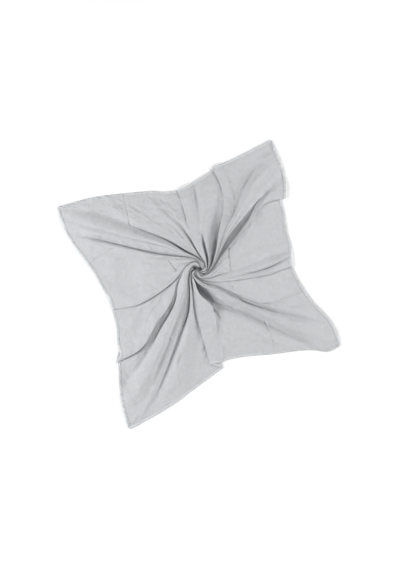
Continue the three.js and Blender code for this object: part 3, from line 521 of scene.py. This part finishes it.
# The plain weave of the voile: hard-twisted threads that pass over and under each other, a few of
# them thicker for a length. Height is in shares of a thread, and Tint varies about 1.
THREAD_PITCH = 0.0006
SLUBS_ALONG, SLUBS_ACROSS = 55.0, 1400.0
SLUB_LOW, SLUB_HIGH = 0.75, 1.25
TINT_LOW, TINT_HIGH = 0.9, 1.1
weave, given, made = new_group("plain_weave", [("Flat", "NodeSocketVector")],
                               [("Height", "NodeSocketFloat"), ("Tint", "NodeSocketFloat")])
threads = add_node(
    weave, "ShaderNodeVectorMath", {0: given.outputs["Flat"], "Scale": 1 / THREAD_PITCH},
    operation="SCALE")
parts = add_node(weave, "ShaderNodeSeparateXYZ", {0: threads.outputs[0]})
rounds = []
for axis in ("X", "Y"):
    turn = calc(weave, "MULTIPLY", parts.outputs[axis], math.pi)
    rounds.append(calc(weave, "ABSOLUTE", calc(weave, "SINE", turn)))
cell = calc(weave, "ADD", *[calc(weave, "FLOOR", parts.outputs[axis]) for axis in ("X", "Y")])
over = calc(weave, "PINGPONG", cell, 1.0)
crossing = add_node(weave, "ShaderNodeMix", {0: over, 2: rounds[0], 3: rounds[1]})
weave.links.new(crossing.outputs[0], made.inputs["Height"])
slubs = []
for scale in ((SLUBS_ALONG, SLUBS_ACROSS, 1.0), (SLUBS_ACROSS, SLUBS_ALONG, 1.0)):
    stretched = add_node(
        weave, "ShaderNodeVectorMath", {0: given.outputs["Flat"], 1: scale}, operation="MULTIPLY")
    uneven = add_node(
        weave, "ShaderNodeTexNoise", {"Vector": stretched.outputs[0], "Scale": 1.0, "Detail": 2.0})
    slubs.append(uneven.outputs[0])
slub = calc(weave, "ADD", slubs[0], slubs[1])
tint = add_node(
    weave, "ShaderNodeMapRange", {0: slub, 1: SLUB_LOW, 2: SLUB_HIGH, 3: TINT_LOW, 4: TINT_HIGH})
weave.links.new(tint.outputs[0], made.inputs["Tint"])

# A crease pressed in by storage, when the square lay folded in four: a low sharp ridge along a
# straight line between two plan places, given as a height from nought beside it to one on it.
crease, given, made = new_group(
    "press_crease",
    [("Place", "NodeSocketVector"), ("From", "NodeSocketVector"), ("To", "NodeSocketVector"),
     ("Width", "NodeSocketFloat")], [("Height", "NodeSocketFloat")])


def vector(tree, operation, a, b=(0, 0, 0)):
    """A node that works on two vectors."""
    return add_node(tree, "ShaderNodeVectorMath", {0: a, 1: b}, operation=operation)


line = vector(crease, "SUBTRACT", given.outputs["To"], given.outputs["From"]).outputs[0]
offset = vector(crease, "SUBTRACT", given.outputs["Place"], given.outputs["From"]).outputs[0]
share = calc(crease, "DIVIDE", vector(crease, "DOT_PRODUCT", offset, line).outputs["Value"],
             vector(crease, "DOT_PRODUCT", line, line).outputs["Value"])
share = add_node(crease, "ShaderNodeClamp", {0: share}).outputs[0]
foot = add_node(crease, "ShaderNodeVectorMath", {0: line, "Scale": share}, operation="SCALE")
away = vector(crease, "DISTANCE", offset, foot.outputs[0]).outputs["Value"]
ridge = calc(crease, "SUBTRACT", 1.0, calc(crease, "DIVIDE", away, given.outputs["Width"]))
crease.links.new(calc(crease, "MAXIMUM", ridge, 0.0), made.inputs["Height"])

# Where the creases show, as runs of plan places in shares of the flat side from the swirl's centre,
# each with the height that it stands up, or below nought sinks, in metres.
CREASE_WIDTH = 0.0055
CREASES = [
    (-0.0022, [(-0.178, 0.357), (-0.185, 0.28), (-0.19, 0.245), (-0.18, 0.205)]),
    (0.0022, [(-0.155, 0.155), (-0.147, 0.13)]),
    (0.0013, [(-0.40, 0.155), (-0.36, 0.163), (-0.28, 0.18)]),
    (0.005, [(-0.10, 0.065), (-0.085, 0.025)]),
    (-0.0045, [(0.128, 0.04), (0.118, 0.01), (0.11, -0.04)]),
    (-0.0022, [(0.348, -0.197), (0.25, -0.205), (0.183, -0.2)]),
    (0.0018, [(0.204, 0.33), (0.212, 0.27), (0.206, 0.206), (0.202, 0.171)]),
    (-0.0026, [(0.165, -0.387), (0.175, -0.34), (0.177, -0.30), (0.173, -0.265)]),
    (0.0016, [(-0.02, -0.162), (0.04, -0.172)]),
    (0.0022, [(-0.183, -0.252), (-0.18, -0.204)]),
    (0.0011, [(-0.215, -0.40), (-0.185, -0.29)]),
    (-0.0026, [(0.085, -0.07), (0.10, -0.10)]),
]

# Fine lines drawn towards the twist, as how closely they lie round it and how high they stand.
# They fade between two distances from the middle of the flat cloth, to a share of their height.
PULL_LINES = [(30.0, 0.0035), (15.0, 0.005), (8.0, 0.01)]
PULL_CHANGE = 5.0
PULL_NEAR, PULL_FAR, PULL_LEFT = 0.16, 0.5, 0.25

# The soft rumples that washed voile keeps.
RUMPLE_LENGTH, RUMPLE_HEIGHT = 0.09, 0.02

VOILE_ROUGHNESS, VOILE_SHEEN = 0.9, 0.15


def cloth_material(name, colour, thread_height, creases):
    """The voile's surface: weave, fine lines drawn towards the twist, rumples and storage creases."""
    paint = bpy.data.materials.new(name)
    paint.use_nodes = True
    tree = paint.node_tree
    flat = add_node(tree, "ShaderNodeUVMap", uv_map="flat_cloth").outputs[0]
    woven = add_node(tree, "ShaderNodeGroup", {}, node_tree=weave)
    tree.links.new(flat, woven.inputs["Flat"])
    height = calc(tree, "MULTIPLY", woven.outputs["Height"], thread_height)
    spoke = add_node(tree, "ShaderNodeUVMap", uv_map="fold_lines").outputs[0]
    reach = vector(tree, "LENGTH", flat).outputs["Value"]
    for lines, rise in PULL_LINES:
        swept = add_node(tree, "ShaderNodeVectorMath", {0: spoke, "Scale": lines}, operation="SCALE")
        drawn = add_node(tree, "ShaderNodeCombineXYZ", {2: calc(tree, "MULTIPLY", reach, PULL_CHANGE)})
        place = vector(tree, "ADD", swept.outputs[0], drawn.outputs[0]).outputs[0]
        noise = add_node(tree, "ShaderNodeTexNoise", {"Vector": place, "Scale": 1.0, "Detail": 1.5})
        fade = add_node(tree, "ShaderNodeMapRange",
                        {0: reach, 1: PULL_NEAR, 2: PULL_FAR, 3: rise, 4: rise * PULL_LEFT})
        height = calc(tree, "ADD", height, calc(tree, "MULTIPLY", noise.outputs[0], fade.outputs[0]))
    rumple = add_node(
        tree, "ShaderNodeTexNoise", {"Vector": flat, "Scale": 1 / RUMPLE_LENGTH, "Detail": 3.0})
    height = calc(tree, "ADD", height, calc(tree, "MULTIPLY", rumple.outputs[0], RUMPLE_HEIGHT))
    plan = vector(tree, "MULTIPLY", add_node(tree, "ShaderNodeTexCoord").outputs["Object"], (1, 1, 0))
    for rise, run in creases:
        spots = [(x * FLAT_SIDE - middle[0], y * FLAT_SIDE - middle[1], 0) for x, y in run]
        for start, end in zip(spots, spots[1:]):
            pressed = add_node(tree, "ShaderNodeGroup", {}, node_tree=crease)
            tree.links.new(plan.outputs[0], pressed.inputs["Place"])
            pressed.inputs["From"].default_value = start
            pressed.inputs["To"].default_value = end
            pressed.inputs["Width"].default_value = CREASE_WIDTH
            height = calc(tree, "ADD", height, calc(tree, "MULTIPLY", pressed.outputs[0], rise))
    surface = tree.nodes["Principled BSDF"]
    dyed = add_node(tree, "ShaderNodeVectorMath", {0: colour, "Scale": woven.outputs["Tint"]},
                    operation="SCALE")
    tree.links.new(dyed.outputs[0], surface.inputs["Base Color"])
    bump = add_node(tree, "ShaderNodeBump", {"Height": height, "Distance": 1.0, "Strength": 1.0})
    tree.links.new(bump.outputs[0], surface.inputs["Normal"])
    surface.inputs["Roughness"].default_value = VOILE_ROUGHNESS
    surface.inputs["Sheen Weight"].default_value = VOILE_SHEEN
    return paint


VOILE_COLOUR, VOILE_RELIEF = (0.487, 0.496, 0.512), 0.00012
voile = cloth_material("voile", VOILE_COLOUR, VOILE_RELIEF, CREASES)
voile_cloth.data.materials.append(voile)
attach(voile_cloth, "root")
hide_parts("cloth_panel")

# The four hems: the edge of the same voile turned twice into a narrow band with a round edge, drawn
# in along its stitches and puckered a little by them. The turned layers show paler than the panel.
HEM_THICK = 0.0019
HEM_EDGE = 0.0002
HEM_PIECE_WIDTH = 0.003
CORNER_ROUND = 0.003
STITCH_ROW = 3
HEM_SHARES = np.array([0, 0.04, 0.12, 0.22, 0.32, 0.5, 0.68, 0.84, 0.95, 1])
PUCKER_HEIGHT, PUCKER_LENGTH, PUCKER_BEAT = 0.0003, 0.013, 0.071
SIDES = {
    "north": ("corner_north_west", "corner_north_east"),
    "east": ("corner_north_east", "corner_south_east"),
    "south": ("corner_south_east", "corner_south_west"),
    "west": ("corner_south_west", "corner_north_west"),
}
HEM_COLOUR, HEM_RELIEF = (0.555, 0.565, 0.583), 0.00016
hem_voile = cloth_material("hem_voile", HEM_COLOUR, HEM_RELIEF, [])
RAIL_NAMES = [rail["fold"]["name"] for rail in rails]


def side_columns(first, last):
    """Columns along one side, close enough together to show the puckers."""
    start, stop = RAIL_NAMES.index(first), RAIL_NAMES.index(last)
    side = []
    for i in range(start, stop if stop > start else stop + len(rails)):
        rail, ahead = rails[i % len(rails)], rails[(i + 1) % len(rails)]
        here, there = [line["at"](np.array([1.0]))[0] for line in (rail, ahead)]
        pieces = 1
        if rail["pieces"] > 1:
            pieces = max(2, round(math.dist(here, there) / HEM_PIECE_WIDTH))
        side += [(i % len(rails), k / pieces) for k in range(pieces)]
    return side + [(stop, 0)]


def hem_grid(side):
    """The middle surface of a hem, from the line where the panel enters it to the cloth's edge."""
    grid = np.zeros((len(HEM_SHARES), len(side), 3))
    for c, (i, s) in enumerate(side):
        if is_corner(i, s):
            insets = CORNER_ROUND + (HEM_WIDTH - CORNER_ROUND) * (1 - HEM_SHARES)
            grid[:, c] = [corner_place(i, inset) for inset in insets]
            continue
        inner = inset_station(i, s, HEM_WIDTH)
        grid[:, c] = cloth_place(rails, i, s, inner + (1 - inner) * HEM_SHARES)
    steps = np.linalg.norm(np.diff(grid[-1], axis=0), axis=1)
    length = np.concatenate([[0], steps.cumsum()])
    wave = np.sin(2 * math.pi * length / PUCKER_LENGTH) * np.sin(2 * math.pi * length / PUCKER_BEAT + 1)
    grid[..., 2] += PUCKER_HEIGHT * (1 + wave) * np.sin(math.pi * HEM_SHARES)[:, None]
    return grid, length


# How far the stitches draw a hem in, and how wide the groove is, as shares of its thickness and width.
GROOVE_SHARE, GROOVE_WIDTH = 0.5, 0.08
hem_swell = np.sqrt(1 - np.abs(2 * HEM_SHARES - 1) ** 3)
hem_swell *= 1 - GROOVE_SHARE * np.exp(-((HEM_SHARES - HEM_SHARES[STITCH_ROW]) / GROOVE_WIDTH) ** 2)
hem_thick = (HEM_EDGE + HEM_THICK * hem_swell)[:, None]
hems = {}
for side_name, (first, last) in SIDES.items():
    grid, length = hem_grid(side_columns(first, last))
    flat = np.stack(np.broadcast_arrays(length, HEM_WIDTH * HEM_SHARES[:, None]), axis=-1)
    band = closed_sheet("hem_%s_band" % side_name, grid, hem_thick, flat, False)
    band.data.materials.append(hem_voile)
    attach(band, "root")
    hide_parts("hem_" + side_name)
    hems[side_name] = (band, grid, length)

# The stitching of the hems: small lockstitches of matching thread, close to each hem's inner edge.
STITCH_PITCH, STITCH_LENGTH, THREAD_RADIUS = 0.0028, 0.0021, 0.00017
STITCH_TAPER, STITCH_PROUD = 0.34, 0.4
THREAD_SIDES = 6
THREAD_COLOUR = (1.0, 1.01, 1.03)
THREAD_DARK, THREAD_LIGHT = 0.5, 0.66
PLY_SCALE = 4000.0
thread = bpy.data.materials.new("sewing_thread")
thread.use_nodes = True
ply = add_node(thread.node_tree, "ShaderNodeTexNoise", {"Scale": PLY_SCALE, "Detail": 1.0})
shade = add_node(
    thread.node_tree, "ShaderNodeMapRange", {0: ply.outputs[0], 3: THREAD_DARK, 4: THREAD_LIGHT})
tone = add_node(
    thread.node_tree, "ShaderNodeVectorMath", {0: THREAD_COLOUR, "Scale": shade.outputs[0]},
    operation="SCALE")
thread_surface = thread.node_tree.nodes["Principled BSDF"]
thread.node_tree.links.new(tone.outputs[0], thread_surface.inputs["Base Color"])
thread_surface.inputs["Roughness"].default_value = 0.6


def stitch_row(name, grid, length):
    """One mesh of spindle-shaped stitches along a hem, partly sunk in its upper face."""
    top = float(hem_thick.max() + hem_thick[STITCH_ROW, 0]) / 2
    row = grid[STITCH_ROW] + [-middle[0], -middle[1], top + THREAD_RADIUS * STITCH_PROUD]
    starts = np.arange(STITCH_PITCH, length[-1] - STITCH_PITCH, STITCH_PITCH)

    def along(places):
        return np.stack([np.interp(places, length, axis) for axis in row.T], axis=-1)

    centre = along(starts)
    run = along(starts + STITCH_LENGTH / 4) - along(starts - STITCH_LENGTH / 4)
    run /= np.linalg.norm(run, axis=1, keepdims=True)
    side = np.cross(run, [0, 0, 1])
    side /= np.linalg.norm(side, axis=1, keepdims=True)
    up = np.cross(side, run)
    points, faces = [], []
    turns = 2 * math.pi * np.arange(THREAD_SIDES) / THREAD_SIDES
    for place, r, b, u in zip(centre, run, side, up):
        base = len(points)
        points += [place - r * STITCH_LENGTH / 2, place + r * STITCH_LENGTH / 2]
        for end in (-STITCH_TAPER, STITCH_TAPER):
            waist = place + r * STITCH_LENGTH * end
            points += [waist + (b * math.cos(q) + u * math.sin(q)) * THREAD_RADIUS for q in turns]
        near, far = base + 2, base + 2 + THREAD_SIDES
        for k in range(THREAD_SIDES):
            n = (k + 1) % THREAD_SIDES
            faces += [(near + k, near + n, far + n, far + k), (base, near + n, near + k),
                      (base + 1, far + k, far + n)]
    mesh = bpy.data.meshes.new(name)
    mesh.from_pydata([tuple(p) for p in points], [], faces)
    mesh.polygons.foreach_set("use_smooth", np.ones(len(faces), bool))
    piece = bpy.data.objects.new(name, mesh)
    bpy.context.scene.collection.objects.link(piece)
    piece.data.materials.append(thread)
    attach(piece, "root")
    return piece


stitches = [stitch_row("stitching_" + side_name, grid, length)
            for side_name, (_, grid, length) in hems.items()]

# The surface that the cloth lies on: a plain pale floor.
FLOOR_SIZE, FLOOR_DROP = 12.0, 0.0005
bpy.ops.mesh.primitive_plane_add(size=FLOOR_SIZE, location=(0, 0, -FLOOR_DROP))
table_top = bpy.context.object
table_top.name = "table_top"
table_paint = bpy.data.materials.new("table_paint")
table_paint.use_nodes = True
table_surface = table_paint.node_tree.nodes["Principled BSDF"]
table_surface.inputs["Base Color"].default_value = (0.9, 0.9, 0.9, 1)
table_surface.inputs["Roughness"].default_value = 0.9
table_top.data.materials.append(table_paint)

# The light and the camera: straight above, turned as the photograph is.
VIEW_TURN = math.radians(18.5)
FLAT_SIDE_PIXELS = 268
PIXEL = FLAT_SIDE / FLAT_SIDE_PIXELS
CAMERA_HEIGHT = 3.0
SENSOR = 36.0
SWIRL_PIXEL = (199, 269.5)
FRAME_PIXELS = (400, 570)
right = (FRAME_PIXELS[0] / 2 - SWIRL_PIXEL[0]) * PIXEL
up = (SWIRL_PIXEL[1] - FRAME_PIXELS[1] / 2) * PIXEL
aim = (right * math.cos(VIEW_TURN) + up * math.sin(VIEW_TURN) - middle[0],
       -right * math.sin(VIEW_TURN) + up * math.cos(VIEW_TURN) - middle[1])
camera_data = bpy.data.cameras.new("overhead_camera")
camera_data.sensor_width = SENSOR
camera_data.lens = SENSOR * CAMERA_HEIGHT / (FRAME_PIXELS[1] * PIXEL)
camera = bpy.data.objects.new("overhead_camera", camera_data)
camera.location = (aim[0], aim[1], CAMERA_HEIGHT)
camera.rotation_euler = (0, 0, -VIEW_TURN)
bpy.context.scene.collection.objects.link(camera)
bpy.context.scene.camera = camera


def soft_light(name, toward, distance, size, power):
    """A large soft panel that faces the cloth from a direction given in the photograph's frame."""
    x, y, z = Vector(toward).normalized() * distance
    data = bpy.data.lights.new(name, "AREA")
    data.shape = "SQUARE"
    data.size = size
    data.energy = power
    lamp = bpy.data.objects.new(name, data)
    lamp.location = (x * math.cos(VIEW_TURN) + y * math.sin(VIEW_TURN),
                     -x * math.sin(VIEW_TURN) + y * math.cos(VIEW_TURN), z)
    lamp.rotation_euler = (-lamp.location).to_track_quat("-Z", "Y").to_euler()
    bpy.context.scene.collection.objects.link(lamp)


soft_light("right_softbox", (0.95, 0.0, 0.31), 3.0, 1.0, 60)
soft_light("left_softbox", (-0.9, 0.0, 0.43), 2.8, 1.0, 82)
soft_light("near_softbox", (0.0, -0.82, 0.57), 3.0, 1.0, 40)
soft_light("far_softbox", (0.5, 0.65, 0.57), 3.0, 1.0, 42)
world = bpy.data.worlds.new("room")
bpy.context.scene.world = world
world.use_nodes = True
world.node_tree.nodes["Background"].inputs["Color"].default_value = (1, 1, 1, 1)
world.node_tree.nodes["Background"].inputs["Strength"].default_value = 0.05
bpy.context.scene.view_settings.view_transform = "Standard"
